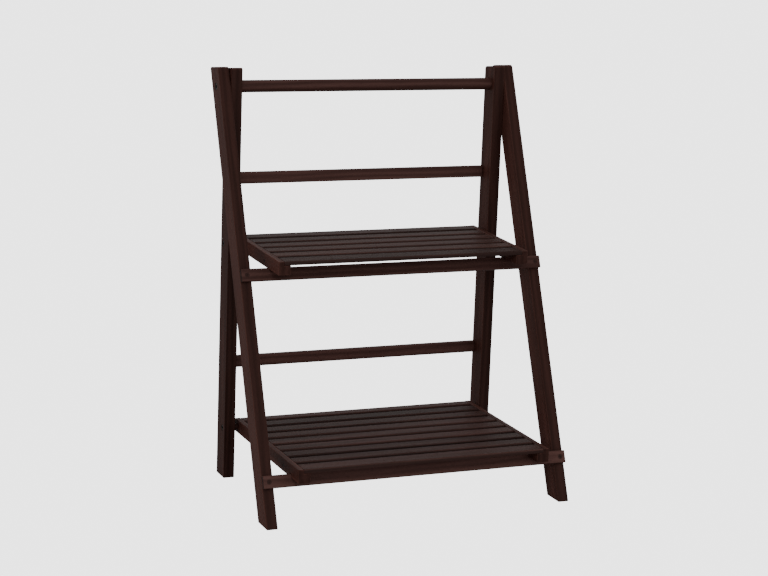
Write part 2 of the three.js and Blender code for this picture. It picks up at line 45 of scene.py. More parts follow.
JOINTS = {joint["name"]: Vector(joint["pos_m"]) for joint in frame["joints"]}
HINGE = JOINTS["fold"]
FRONT_LEAN = math.radians(22.7)
HALF_WIDTH = 0.280
LEG_THICKNESS = 0.020
LEG_DEPTH = 0.041
FRONT_LEG_RISE = 0.0324
REAR_LEG_RISE = 0.0321
LEG_TOP_TILT = math.radians(6.5)
LEG_CORNER = 0.005
FRONT_LEG_EDGE = 0.0014
REAR_LEG_EDGE = 0.0010
SLIDE_GAP = 0.0011
REST_GAP = 0.0003
FRONT_LEG_X = HALF_WIDTH - LEG_THICKNESS / 2
REAR_LEG_OUTSIDE = HALF_WIDTH - LEG_THICKNESS - SLIDE_GAP
REAR_LEG_X = REAR_LEG_OUTSIDE - LEG_THICKNESS / 2
REAR_LEG_INSIDE = REAR_LEG_OUTSIDE - LEG_THICKNESS

CROSSBAR_HEIGHT = 0.0218
CROSSBAR_THICKNESS = 0.009
CROSSBAR_FACE = LEG_DEPTH / 2 + REST_GAP + CROSSBAR_THICKNESS
REAR_BAR_HEIGHT = 0.0206
REAR_BAR_THICKNESS = 0.010
REAR_BAR_BACK = LEG_DEPTH / 2 - REAR_BAR_THICKNESS / 2
REAR_BAR_DOWN = {"upper": 0.1625, "lower": 0.4927}
DOWEL_RADIUS = 0.01075
DOWEL_SEAT = 0.008
DOWEL_EDGE = 0.0008
BAR_EDGE = 0.0013

RAIL_FROM_SIDE = 0.049
RAIL_OUTSIDE = HALF_WIDTH - RAIL_FROM_SIDE
RAIL_THICKNESS = 0.022
RAIL_INSIDE = RAIL_OUTSIDE - RAIL_THICKNESS
RAIL_HEIGHT = 0.0235
RAIL_LIP = 0.010
RAIL_EDGE = 0.0011
PIVOT_FROM_REAR = 0.0125
PIVOT_FROM_UNDERSIDE = 0.011
RAIL_TOP = RAIL_HEIGHT - PIVOT_FROM_UNDERSIDE
HOOK_CLEARANCE = 0.0005
HOOK_PLAY = 0.003
SLAT_THICKNESS = 0.007
SLAT_SPACE = 0.0045
SLAT_SEAT = RAIL_TOP - SLAT_THICKNESS - REST_GAP
SLAT_PLANED = 0.0028
SLAT_ROUND = 0.0027
SLAT_EDGE = 0.0009
FRONT_SLAT = 0.036
STRETCHER_BACK = 0.074
STRETCHER_DEPTH = 0.012
STRETCHER_HEIGHT = 0.014
STRETCHER_GAP = 0.0005
STRETCHER_Z = SLAT_SEAT - STRETCHER_GAP - STRETCHER_HEIGHT / 2

# Radii of the fasteners and of the holes and seats cut for them, and their other sizes
BOLT_SHANK = 0.003
BOLT_BORE = 0.0033
BOLT_EDGE = 0.0006
HINGE_HEAD = 0.0065
HINGE_HEAD_HEIGHT = 0.004
HINGE_HEAD_SINK = 0.0007
HINGE_HEAD_SEAT = 0.0068
HINGE_HEAD_SEAT_DEPTH = 0.005
HINGE_BOLT_BITE = 0.020
PILOT_DEPTH = 0.0203
WASHER = 0.009
WASHER_EDGE = 0.00012
PIVOT_HEAD = 0.0055
PIVOT_HEAD_HEIGHT = 0.0035
PIVOT_HEAD_SINK = 0.0006
PIVOT_HEAD_SEAT = 0.0058
PIVOT_HEAD_SEAT_DEPTH = 0.0044
PIVOT_PAST_NUT = 0.0015
SPACER = 0.006
SPACER_EDGE = 0.0006
NUT_ACROSS_FLATS = 0.009
NUT_THICKNESS = 0.005
NUT_DOME = 0.0051
NUT_DOME_EDGE = 0.0007
SCREW_HEAD = 0.0038
SCREW_RIM = 0.0005
SCREW_CONE = 0.0021
SCREW_SHANK = 0.002
SCREW_TIP = 0.004
SCREW_BITE = 0.016
SCREW_SINK = 0.0004
SCREW_SEAT = 0.0041
SCREW_SEAT_DEPTH = 0.003
REAR_SCREW_SEAT_DEPTH = 0.004
CROSS_LENGTH = 0.0040
CROSS_WIDTH = 0.0008
CROSS_DEPTH = 0.0013

SHELVES = {
    "upper": {"height": 0.4285, "slope": math.radians(1.3), "overhang": 0.0515,
              "hook": 0.0025, "slats": 6, "rear_slat": 0.034},
    "lower": {"height": 0.1027, "slope": 0.0, "overhang": 0.0357,
              "hook": 0.0073, "slats": 9, "rear_slat": 0.0255},
}
SIDES = {"left": -1, "right": 1}


def measure(level, shelf):
    """Finds where a shelf's crossbar is down the front legs, and how deep the shelf is."""
    slope = shelf["slope"]
    underside = shelf["height"] - RAIL_HEIGHT / math.cos(slope)
    edge = underside + shelf["overhang"] * math.tan(slope) + shelf["hook"] - HINGE.z
    along = (edge - CROSSBAR_FACE * math.sin(FRONT_LEAN)) / math.cos(FRONT_LEAN)
    ahead = CROSSBAR_FACE * math.cos(FRONT_LEAN) - along * math.sin(FRONT_LEAN)
    shelf["crossbar_down"] = CROSSBAR_HEIGHT / 2 - along
    shelf["pivot"] = JOINTS[f"{level}_shelf_pivot"]
    reach = shelf["overhang"] + ahead + shelf["pivot"].y - HINGE.y
    reach = (reach - RAIL_TOP * math.sin(slope)) / math.cos(slope)
    shelf["depth"] = PIVOT_FROM_REAR + reach


for level, shelf in SHELVES.items():
    measure(level, shelf)


# ------------------------------------------------------------------ camera, floor, light

CAMERA_TURN = math.radians(-22.92987)
CAMERA_RISE = math.radians(12.037076)
CAMERA_ROLL = math.radians(2.104243)
CAMERA_PLACE = Vector((-1.3787465, HINGE.y - 3.3696396, 1.1079257))
CAMERA_LENS = 96.65496
BACKDROP_GLOW = 3.2
ROOM_LIGHT = 0.70
STAND_MIDDLE = (0, 0, 0.4)


def photo_camera():
    """Looks at the stand as the photo does, from its left and a little above."""
    level = math.cos(CAMERA_RISE)
    back = Vector((math.sin(CAMERA_TURN) * level, -math.cos(CAMERA_TURN) * level,
                   math.sin(CAMERA_RISE)))
    right = Vector((math.cos(CAMERA_TURN), math.sin(CAMERA_TURN), 0))
    up = back.cross(right)
    across = math.cos(CAMERA_ROLL) * right + math.sin(CAMERA_ROLL) * up
    upward = math.cos(CAMERA_ROLL) * up - math.sin(CAMERA_ROLL) * right
    place = Matrix((across, upward, back)).transposed().to_4x4()
    place.translation = CAMERA_PLACE
    bpy.ops.object.camera_add()
    camera = bpy.context.object
    camera.name = "photo_camera"
    camera.data.sensor_width = 36
    camera.data.lens = CAMERA_LENS
    camera.matrix_world = place
    bpy.context.scene.camera = camera


def pale_to_camera(tree, lit, glowing, surface):
    """The camera sees the glow, and all other light meets the plain surface."""
    path = tree.nodes.new("ShaderNodeLightPath")
    mix = tree.nodes.new("ShaderNodeMixShader")
    tree.links.new(path.outputs["Is Camera Ray"], mix.inputs[0])
    tree.links.new(lit.outputs[0], mix.inputs[1])
    tree.links.new(glowing.outputs[0], mix.inputs[2])
    tree.links.new(mix.outputs[0], surface)


def pale_floor():
    bpy.ops.mesh.primitive_plane_add(size=12, location=(0, 0, -0.0004))
    floor = bpy.context.object
    floor.name = "pale_floor"
    paint = bpy.data.materials.new("pale_floor")
    paint.use_nodes = True
    tree = paint.node_tree
    matt = tree.nodes["Principled BSDF"]
    matt.inputs["Base Color"].default_value = (0.5, 0.5, 0.5, 1)
    matt.inputs["Roughness"].default_value = 0.9
    glow = tree.nodes.new("ShaderNodeEmission")
    glow.inputs["Strength"].default_value = BACKDROP_GLOW
    pale_to_camera(tree, matt, glow, tree.nodes["Material Output"].inputs["Surface"])
    floor.data.materials.append(paint)


def pale_room():
    world = bpy.data.worlds.new("pale_room")
    world.use_nodes = True
    tree = world.node_tree
    soft = tree.nodes["Background"]
    soft.inputs["Color"].default_value = (1, 1, 1, 1)
    soft.inputs["Strength"].default_value = ROOM_LIGHT
    bright = tree.nodes.new("ShaderNodeBackground")
    bright.inputs["Color"].default_value = (1, 1, 1, 1)
    bright.inputs["Strength"].default_value = BACKDROP_GLOW
    pale_to_camera(tree, soft, bright, tree.nodes["World Output"].inputs["Surface"])
    bpy.context.scene.world = world


def soft_box(name, place, size, power):
    """Lights the middle of the stand from a place, unseen by the camera."""
    bpy.ops.object.light_add(type="AREA", location=place)
    lamp = bpy.context.object
    lamp.name = name
    lamp.data.shape = "RECTANGLE"
    lamp.data.size = size[0]
    lamp.data.size_y = size[1]
    lamp.data.energy = power
    aim = Vector(STAND_MIDDLE) - Vector(place)
    lamp.rotation_euler = aim.to_track_quat("-Z", "Y").to_euler()
    lamp.visible_camera = False


photo_camera()
pale_floor()
pale_room()
soft_box("soft_box_low", (0.9, -2.6, 0.55), (1.2, 1.0), 7.4)
soft_box("soft_box_front", (-0.9, -2.4, 1.9), (1.2, 1.2), 27.2)
soft_box("soft_box_far_left", (-2.8, -0.3, 1.6), (1.2, 1.2), 1.2)


# ------------------------------------------------------------------ shader parts

PORE_STAIN = (0.002, 0.001, 0.001, 1)
# Painted shade: a near-black tone that darkens the faces of legs and slats that look forward
# or back.
NARROW_FACE_PAINTED_SHADE = (0.003, 0.0012, 0.0009, 1)
END_STAIN = (0.004, 0.0018, 0.0014, 1)
# Lighter edge tone and its strengths: partly wear, partly painted highlight.
WORN_AND_HIGHLIT_WOOD = (0.075, 0.042, 0.034, 1)
WOOD_WEAR_AND_HIGHLIGHT = 0.35
STEEL_WEAR_AND_HIGHLIGHT = 0.4


def socket_in(tree, name, kind, value=None):
    made = tree.interface.new_socket(name=name, in_out="INPUT", socket_type=kind)
    if value is not None:
        made.default_value = value


def socket_out(tree, name, kind):
    tree.interface.new_socket(name=name, in_out="OUTPUT", socket_type=kind)


def put(tree, kind, links=None, **values):
    """Adds a node; links holds what its sockets are joined to, or their numbers."""
    made = tree.nodes.new(kind)
    for key, value in values.items():
        setattr(made, key, value)
    for key, source in (links or {}).items():
        if isinstance(source, bpy.types.NodeSocket):
            tree.links.new(source, made.inputs[key])
        else:
            made.inputs[key].default_value = source
    return made


def sums(tree, operation, first, second=0.0):
    made = put(tree, "ShaderNodeMath", {0: first, 1: second}, operation=operation)
    return made.outputs[0]


def ranged(tree, value, low, high, to_low, to_high):
    made = put(tree, "ShaderNodeMapRange", {"Value": value, "From Min": low,
               "From Max": high, "To Min": to_low, "To Max": to_high})
    return made.outputs["Result"]


def blended(tree, factor, first, second):
    made = put(tree, "ShaderNodeMix", data_type="RGBA", blend_type="MIX")
    for place, source in ((0, factor), (6, first), (7, second)):
        if isinstance(source, bpy.types.NodeSocket):
            tree.links.new(source, made.inputs[place])
        else:
            made.inputs[place].default_value = source
    return made.outputs[2]


def streaks(tree, place, scale, stretch, detail):
    drawn = put(tree, "ShaderNodeMapping", {"Vector": place, "Scale": (1, 1, stretch)})
    made = put(tree, "ShaderNodeTexNoise", {"Vector": drawn.outputs[0], "Scale": scale,
               "Detail": detail, "Roughness": 0.6})
    return made.outputs[0]


# Grain of the stained boards, darkened on some faces with painted shade. Place has the grain
# along Z, Facing is the surface's own direction in the same turn, Board tells one board from
# the next, and the narrow-faces input says how much painted shade darkens the faces that look
# along Y in that turn.
def stained_grain():
    tree = bpy.data.node_groups.new("stained_grain", "ShaderNodeTree")
    socket_in(tree, "Place", "NodeSocketVector")
    socket_in(tree, "Facing", "NodeSocketVector")
    socket_in(tree, "Board", "NodeSocketFloat", 0.5)
    socket_in(tree, "Painted shade on narrow faces", "NodeSocketFloat", 0.0)
    socket_in(tree, "Dark stain", "NodeSocketColor", (0.010, 0.004, 0.003, 1))
    socket_in(tree, "Light stain", "NodeSocketColor", (0.030, 0.014, 0.011, 1))
    socket_out(tree, "Colour", "NodeSocketColor")
    socket_out(tree, "Roughness", "NodeSocketFloat")
    socket_out(tree, "Height", "NodeSocketFloat")
    given = put(tree, "NodeGroupInput").outputs
    apart = put(tree, "ShaderNodeVectorMath", {0: given["Board"], 1: (3.1, 5.3, 7.9)},
                operation="MULTIPLY")
    moved = put(tree, "ShaderNodeVectorMath", {0: given["Place"], 1: apart.outputs[0]},
                operation="ADD").outputs[0]
    broad = streaks(tree, moved, 70, 0.05, 3)
    fibre = streaks(tree, moved, 900, 0.025, 4)
    pores = ranged(tree, streaks(tree, moved, 2600, 0.05, 2), 0.60, 0.72, 0, 1)
    bands = put(tree, "ShaderNodeTexWave", {"Scale": 26, "Distortion": 7, "Detail": 3,
                "Detail Scale": 1.4}, wave_type="BANDS", bands_direction="X")
    drawn = put(tree, "ShaderNodeMapping", {"Vector": moved, "Scale": (1, 1, 0.07)})
    tree.links.new(drawn.outputs[0], bands.inputs["Vector"])
    figure = sums(tree, "MULTIPLY", bands.outputs["Fac"], 0.30)
    tone = sums(tree, "ADD", sums(tree, "MULTIPLY", broad, 0.55), figure)
    tone = sums(tree, "ADD", tone, sums(tree, "MULTIPLY", fibre, 0.45))
    spread = sums(tree, "MULTIPLY", sums(tree, "SUBTRACT", given["Board"], 0.5), 0.30)
    tone = ranged(tree, sums(tree, "ADD", tone, spread), 0.35, 0.95, 0, 1)
    colour = blended(tree, tone, given["Dark stain"], given["Light stain"])
    colour = blended(tree, sums(tree, "MULTIPLY", pores, 0.55), colour,
                     PORE_STAIN)
    facing = put(tree, "ShaderNodeSeparateXYZ", {0: given["Facing"]}).outputs
    # Painted shade: faces that look along Y in the turn are darkened towards the near-black
    # shade tone.
    narrow = ranged(tree, sums(tree, "ABSOLUTE", facing["Y"]), 0.70, 0.97, 0, 1)
    narrow = sums(tree, "MULTIPLY", narrow, given["Painted shade on narrow faces"])
    colour = blended(tree, narrow, colour, NARROW_FACE_PAINTED_SHADE)
    ends = ranged(tree, sums(tree, "ABSOLUTE", facing["Z"]), 0.80, 0.97, 0, 0.55)
    colour = blended(tree, ends, colour, END_STAIN)
    rough = sums(tree, "ADD", sums(tree, "MULTIPLY", fibre, 0.22), 0.42)
    rough = sums(tree, "ADD", rough, sums(tree, "MULTIPLY", pores, 0.15))
    rough = sums(tree, "ADD", rough, sums(tree, "MULTIPLY", ends, 0.25))
    height = sums(tree, "SUBTRACT", sums(tree, "MULTIPLY", fibre, 0.6), pores)
    put(tree, "NodeGroupOutput", {"Colour": colour, "Roughness": rough, "Height": height})
    return tree


# Rubbed edges with painted highlight: 0 on flat faces, up to 1 where the surface turns within
# the given reach; the edges it lightens stand partly for wear and partly for painted
# highlight.
def rubbed_and_highlit_edges():
    tree = bpy.data.node_groups.new("rubbed_and_highlit_edges", "ShaderNodeTree")
    socket_in(tree, "Place", "NodeSocketVector")
    socket_in(tree, "Reach", "NodeSocketFloat", 0.0012)
    socket_out(tree, "Mask", "NodeSocketFloat")
    given = put(tree, "NodeGroupInput").outputs
    rounded = put(tree, "ShaderNodeBevel", {"Radius": given["Reach"]}, samples=6)
    plain = put(tree, "ShaderNodeNewGeometry").outputs["Normal"]
    match = put(tree, "ShaderNodeVectorMath", {0: rounded.outputs[0], 1: plain},
                operation="DOT_PRODUCT").outputs["Value"]
    turned = ranged(tree, match, 0.995, 0.80, 0, 1)
    patchy = put(tree, "ShaderNodeTexNoise", {"Vector": given["Place"], "Scale": 60,
                 "Detail": 3}).outputs[0]
    patchy = ranged(tree, patchy, 0.35, 0.65, 0.35, 1)
    put(tree, "NodeGroupOutput", {"Mask": sums(tree, "MULTIPLY", turned, patchy)})
    return tree


GRAIN = stained_grain()
RUBBED_AND_HIGHLIT = rubbed_and_highlit_edges()


def stained_wood(name, turn, dark, light, gloss, narrow=0.0):
    """Stained wood whose grain runs along Z after the turn; narrow adds painted shade to the
    faces that look along Y, and the edges are lightened for wear and painted highlight.
    """
    made = bpy.data.materials.new(name)
    made.use_nodes = True
    tree = made.node_tree
    place = put(tree, "ShaderNodeTexCoord").outputs
    along = put(tree, "ShaderNodeMapping", {"Vector": place["Object"], "Rotation": turn})
    facing = put(tree, "ShaderNodeMapping", {"Vector": place["Normal"], "Rotation": turn},
                 vector_type="VECTOR")
    board = put(tree, "ShaderNodeAttribute", attribute_name="board").outputs["Fac"]
    grain = put(tree, "ShaderNodeGroup", node_tree=GRAIN)
    for key, source in (("Place", along.outputs[0]), ("Facing", facing.outputs[0]),
                        ("Board", board)):
        tree.links.new(source, grain.inputs[key])
    grain.inputs["Dark stain"].default_value = (*dark, 1)
    grain.inputs["Light stain"].default_value = (*light, 1)
    # Sets how much painted shade darkens the faces that look forward or back.
    grain.inputs["Painted shade on narrow faces"].default_value = narrow
    edges = put(tree, "ShaderNodeGroup", node_tree=RUBBED_AND_HIGHLIT)
    tree.links.new(along.outputs[0], edges.inputs["Place"])
    # Lighter edges: partly wear, partly painted highlight.
    wear_and_highlight = sums(tree, "MULTIPLY", edges.outputs["Mask"], WOOD_WEAR_AND_HIGHLIGHT)
    colour = blended(tree, wear_and_highlight, grain.outputs["Colour"], WORN_AND_HIGHLIT_WOOD)
    bump = put(tree, "ShaderNodeBump", {"Height": grain.outputs["Height"],
               "Strength": 0.22, "Distance": 0.0003})
    satin = tree.nodes["Principled BSDF"]
    tree.links.new(colour, satin.inputs["Base Color"])
    tree.links.new(grain.outputs["Roughness"], satin.inputs["Roughness"])
    tree.links.new(bump.outputs[0], satin.inputs["Normal"])
    satin.inputs["Specular IOR Level"].default_value = gloss
    return made


def coated_steel(name, dark, light, wear_and_highlight, metal, gloss):
    """Mottled coating from dark to light, lightened along the edges towards a tone that
    stands partly for wear and partly for painted highlight.
    """
    made = bpy.data.materials.new(name)
    made.use_nodes = True
    tree = made.node_tree
    place = put(tree, "ShaderNodeTexCoord").outputs["Object"]
    mottle = put(tree, "ShaderNodeTexNoise", {"Vector": place, "Scale": 900,
                 "Detail": 4}).outputs[0]
    edges = put(tree, "ShaderNodeGroup", node_tree=RUBBED_AND_HIGHLIT)
    tree.links.new(place, edges.inputs["Place"])
    edges.inputs["Reach"].default_value = 0.0005
    tone = blended(tree, mottle, (*dark, 1), (*light, 1))
    # Lighter edges: partly wear, partly painted highlight.
    rubbed_and_highlit = sums(tree, "MULTIPLY", edges.outputs["Mask"], STEEL_WEAR_AND_HIGHLIGHT)
    tone = blended(tree, rubbed_and_highlit, tone, (*wear_and_highlight, 1))
    bump = put(tree, "ShaderNodeBump", {"Height": mottle, "Strength": 0.15,
               "Distance": 0.0001})
    steel = tree.nodes["Principled BSDF"]
    tree.links.new(tone, steel.inputs["Base Color"])
    tree.links.new(ranged(tree, mottle, 0.3, 0.7, 0.34, 0.52), steel.inputs["Roughness"])
    tree.links.new(bump.outputs[0], steel.inputs["Normal"])
    steel.inputs["Metallic"].default_value = metal
    steel.inputs["Specular IOR Level"].default_value = gloss
    return made


ACROSS = (0, -math.pi / 2, 0)
BACKWARD = (math.pi / 2, 0, 0)
UPWARD = (0, 0, 0)
LEANING = (FRONT_LEAN, 0, 0)
LEG_STAIN = ((0.0345, 0.0124, 0.0093), (0.0845, 0.0330, 0.0258))
BAR_STAIN = ((0.0345, 0.0138, 0.0112), (0.0800, 0.0365, 0.0308))
SLAT_STAIN = ((0.0235, 0.0098, 0.0078), (0.0620, 0.0275, 0.0228))
# Legs and slats get painted shade on their front and back faces through narrow.
WOODS = {
    "front_leg": stained_wood("front_leg_wood", LEANING, *LEG_STAIN, 0.06, narrow=0.57),
    "rear_leg": stained_wood("rear_leg_wood", UPWARD, *LEG_STAIN, 0.06, narrow=0.57),
    "bar": stained_wood("bar_wood", ACROSS, *BAR_STAIN, 0.08),
    "rail": stained_wood("rail_wood", BACKWARD, *LEG_STAIN, 0.07),
    "slat": stained_wood("slat_wood", ACROSS, *SLAT_STAIN, 0.095, narrow=0.55),
}
BLACKENED = coated_steel("blackened_steel", (0.007, 0.0052, 0.0046), (0.016, 0.012, 0.0105),
                         (0.060, 0.047, 0.042), 0.6, 0.2)
BROWNED = coated_steel("browned_steel", (0.018, 0.0072, 0.0056), (0.040, 0.0170, 0.0138),
                       (0.060, 0.032, 0.027), 0.0, 0.1)


# ------------------------------------------------------------------ bench tools

def hold(piece):
    bpy.ops.object.select_all(action="DESELECT")
    piece.select_set(True)
    bpy.context.view_layer.objects.active = piece


def block(name, size, place):
    """A board or a square cutter, centred on its place."""
    bpy.ops.object.select_all(action="DESELECT")
    bpy.ops.mesh.primitive_cube_add(size=1, location=place, scale=size)
    piece = bpy.context.object
    piece.name = name
    bpy.ops.object.transform_apply(location=True, rotation=True, scale=True)
    return piece


def rod(name, radius, length, place, sides, along="X"):
    """A round bar or a drill, centred on its place."""
    turn = {"X": (0, math.pi / 2, 0), "Y": (math.pi / 2, 0, 0)}[along]
    bpy.ops.object.select_all(action="DESELECT")
    bpy.ops.mesh.primitive_cylinder_add(vertices=sides, radius=radius, depth=length,
                                        location=place, rotation=turn)
    piece = bpy.context.object
    piece.name = name
    bpy.ops.object.transform_apply(location=True, rotation=True, scale=True)
    return piece


def carve(piece, other, operation):
    """Carves a piece with another one, which is used up."""
    hold(piece)
    change = piece.modifiers.new("carved", "BOOLEAN")
    change.operation = operation
    change.solver = "EXACT"
    change.object = other
    bpy.ops.object.modifier_apply(modifier=change.name)
    bpy.data.objects.remove(other)


def cut_away(piece, *cutters):
    for cutter in cutters:
        carve(piece, cutter, "DIFFERENCE")


def bolt_bore(x, centre):
    """A drill for a bolt, along X through a centre, long enough for one leg or rail."""
    return rod("bore", BOLT_BORE, 0.03, (x, centre.y, centre.z), 24)


def ease(piece, width, steps=3):
    """Rounds every edge that turns by more than 40 degrees."""
    hold(piece)
    change = piece.modifiers.new("eased", "BEVEL")
    change.width = width
    change.segments = steps
    change.limit_method = "ANGLE"
    change.angle_limit = math.radians(40)
    bpy.ops.object.modifier_apply(modifier=change.name)


def round_edges(piece, chosen, radius, steps):
    """Bevels the edges whose middle the chosen() test picks."""
    hold(piece)
    bpy.ops.object.mode_set(mode="EDIT")
    bpy.ops.mesh.select_mode(type="EDGE")
    bpy.ops.mesh.select_all(action="DESELECT")
    bpy.ops.object.mode_set(mode="OBJECT")
    points = piece.data.vertices
    for edge in piece.data.edges:
        ends = [points[index].co for index in edge.vertices]
        edge.select = chosen((ends[0] + ends[1]) / 2, (ends[1] - ends[0]).normalized())
    bpy.ops.object.mode_set(mode="EDIT")
    bpy.ops.mesh.bevel(offset=radius, segments=steps, affect="EDGES")
    bpy.ops.object.mode_set(mode="OBJECT")


def lean(piece, angle, centre):
    """Turns a piece about an axis along X through a point; positive lifts its front."""
    hold(piece)
    bpy.ops.object.mode_set(mode="EDIT")
    bpy.ops.mesh.select_all(action="SELECT")
    bpy.ops.transform.rotate(value=-angle, orient_axis="X", orient_type="GLOBAL",
                             center_override=centre)
    bpy.ops.object.mode_set(mode="OBJECT")


def slide(piece, step):
    hold(piece)
    bpy.ops.object.mode_set(mode="EDIT")
    bpy.ops.mesh.select_all(action="SELECT")
    bpy.ops.transform.translate(value=step)
    bpy.ops.object.mode_set(mode="OBJECT")


def saw(piece, place, away):
    """Saws through a place, throws away what lies that way and closes the cut."""
    hold(piece)
    bpy.ops.object.mode_set(mode="EDIT")
    bpy.ops.mesh.select_all(action="SELECT")
    bpy.ops.mesh.bisect(plane_co=place, plane_no=away, use_fill=True, clear_outer=True)
    bpy.ops.object.mode_set(mode="OBJECT")


def copy_of(piece, name):
    """A copy with a mesh of its own."""
    hold(piece)
    bpy.ops.object.duplicate(linked=False)
    made = bpy.context.object
    made.name = name
    return made


def discard(*pieces):
    for piece in pieces:
        bpy.data.objects.remove(piece)


def smooth(piece):
    hold(piece)
    bpy.ops.object.shade_smooth_by_angle(angle=math.radians(38))
    change = piece.modifiers.new("even", "WEIGHTED_NORMAL")
    change.keep_sharp = True
    bpy.ops.object.modifier_apply(modifier=change.name)


BOARD_STEP = 0.618034
boards = 0


def dress(piece, node, body, finish):
    """The piece takes its finish, rides on its body and stands for its solid."""
    global boards
    boards += 1
    smooth(piece)
    piece.data.materials.clear()
    piece.data.materials.append(finish)
    mark = piece.data.attributes.new("board", "FLOAT", "POINT")
    for point in mark.data:
        point.value = boards * BOARD_STEP % 1
    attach(piece, body)
    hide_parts(node)


# ------------------------------------------------------------------ legs

def leg_blank(name, x):
    """An upright bar, longer than the leg at both ends."""
    foot = -0.12
    top = HINGE.z + 0.06
    size = (LEG_THICKNESS, LEG_DEPTH, top - foot)
    return block(name, size, (x, HINGE.y, (top + foot) / 2))


def finish_leg(leg, back, rise, eased):
    """Saws the top a little down to the back, rounds it, saws the foot level, eases the rest.

    The top is sawn through a point that far behind and above the hinge.
    """
    top = HINGE + Vector((0, back, rise))
    saw(leg, top, (0, math.sin(LEG_TOP_TILT), math.cos(LEG_TOP_TILT)))

    def top_corner(middle, way):
        return abs(way.x) > 0.9 and middle.z > HINGE.z

    round_edges(leg, top_corner, LEG_CORNER, 6)
    saw(leg, (0, 0, 0), (0, 0, -1))
    ease(leg, eased)


def front_leg(side, sign):
    x = sign * FRONT_LEG_X
    leg = leg_blank(f"front_leg_{side}_wood", x)
    lean(leg, -FRONT_LEAN, HINGE)
    back = FRONT_LEG_RISE * math.tan(FRONT_LEAN)
    finish_leg(leg, back, FRONT_LEG_RISE, FRONT_LEG_EDGE)
    outside = sign * HALF_WIDTH
    cut_away(
        leg,
        bolt_bore(x, HINGE),
        rod("head_seat", HINGE_HEAD_SEAT, 2 * HINGE_HEAD_SEAT_DEPTH,
            (outside, HINGE.y, HINGE.z), 40),
    )
    dress(leg, f"front_leg_{side}", "front_frame", WOODS["front_leg"])


def rear_leg(side, sign):
    x = sign * REAR_LEG_X
    leg = leg_blank(f"rear_leg_{side}_wood", x)
    finish_leg(leg, 0, REAR_LEG_RISE, REAR_LEG_EDGE)
    outside = sign * REAR_LEG_OUTSIDE
    inside = sign * REAR_LEG_INSIDE
    cutters = [
        bolt_bore(x, HINGE),
        rod("dowel_seat", DOWEL_RADIUS + REST_GAP, 2 * DOWEL_SEAT,
            (inside, HINGE.y, HINGE.z), 48),
    ]
    for shelf in SHELVES.values():
        pivot = shelf["pivot"]
        cutters.append(bolt_bore(x, pivot))
        cutters.append(rod("head_seat", PIVOT_HEAD_SEAT, 2 * PIVOT_HEAD_SEAT_DEPTH,
                           (outside, pivot.y, pivot.z), 40))
    for down in REAR_BAR_DOWN.values():
        place = (outside, HINGE.y + REAR_BAR_BACK, HINGE.z - down)
        cutters.append(rod("screw_seat", SCREW_SEAT, 2 * REAR_SCREW_SEAT_DEPTH, place, 32))
    cut_away(leg, *cutters)
    dress(leg, f"rear_leg_{side}", "rear_frame", WOODS["rear_leg"])


# ------------------------------------------------------------------ bars and dowel

def crossbar(level, down):
    y = HINGE.y - CROSSBAR_FACE + CROSSBAR_THICKNESS / 2
    size = (2 * HALF_WIDTH, CROSSBAR_THICKNESS, CROSSBAR_HEIGHT)
    bar = block(f"crossbar_{level}_wood", size, (0, y, HINGE.z - down))
    ease(bar, BAR_EDGE)
    front = HINGE.y - CROSSBAR_FACE
    for sign in SIDES.values():
        cut_away(bar, rod("screw_seat", SCREW_SEAT, 2 * SCREW_SEAT_DEPTH,
                          (sign * FRONT_LEG_X, front, HINGE.z - down), 32, "Y"))
    lean(bar, -FRONT_LEAN, HINGE)
    dress(bar, f"crossbar_{level}", "front_frame", WOODS["bar"])


def rear_bar(level, down):
    place = (0, HINGE.y + REAR_BAR_BACK, HINGE.z - down)
    size = (2 * (REAR_LEG_INSIDE - REST_GAP), REAR_BAR_THICKNESS, REAR_BAR_HEIGHT)
    bar = block(f"rear_bar_{level}_wood", size, place)
    ease(bar, BAR_EDGE)
    dress(bar, f"rear_bar_{level}", "rear_frame", WOODS["bar"])


def top_dowel():
    reach = REAR_LEG_INSIDE + DOWEL_SEAT - REST_GAP
    dowel = rod("top_dowel_wood", DOWEL_RADIUS, 2 * reach, tuple(HINGE), 64)
    ease(dowel, DOWEL_EDGE, 2)
    for sign in SIDES.values():
        cut_away(dowel, rod("pilot", BOLT_BORE, 2 * PILOT_DEPTH,
                            (sign * reach, HINGE.y, HINGE.z), 24))
    dress(dowel, "top_dowel", "rear_frame", WOODS["bar"])


# ------------------------------------------------------------------ shelves

def hang(piece, shelf):
    """Sets a piece made level, about its shelf's pivot, in its place."""
    slide(piece, shelf["pivot"])
    if shelf["slope"]:
        lean(piece, shelf["slope"], shelf["pivot"])


def hook_cutter(shelf):
    """The leaning crossbar with its clearances, seen from the shelf's pivot."""
    top = CROSSBAR_HEIGHT / 2 - shelf["crossbar_down"] + REST_GAP
    front = -CROSSBAR_FACE - HOOK_CLEARANCE
    rear = -LEG_DEPTH / 2 - REST_GAP + HOOK_PLAY
    size = (RAIL_THICKNESS + 0.004, rear - front, 0.06)
    cutter = block("hook", size, (0, (front + rear) / 2, top - size[2] / 2))
    lean(cutter, -FRONT_LEAN, (0, 0, 0))
    slide(cutter, (0, HINGE.y - shelf["pivot"].y, HINGE.z - shelf["pivot"].z))
    lean(cutter, -shelf["slope"], (0, 0, 0))
    return cutter


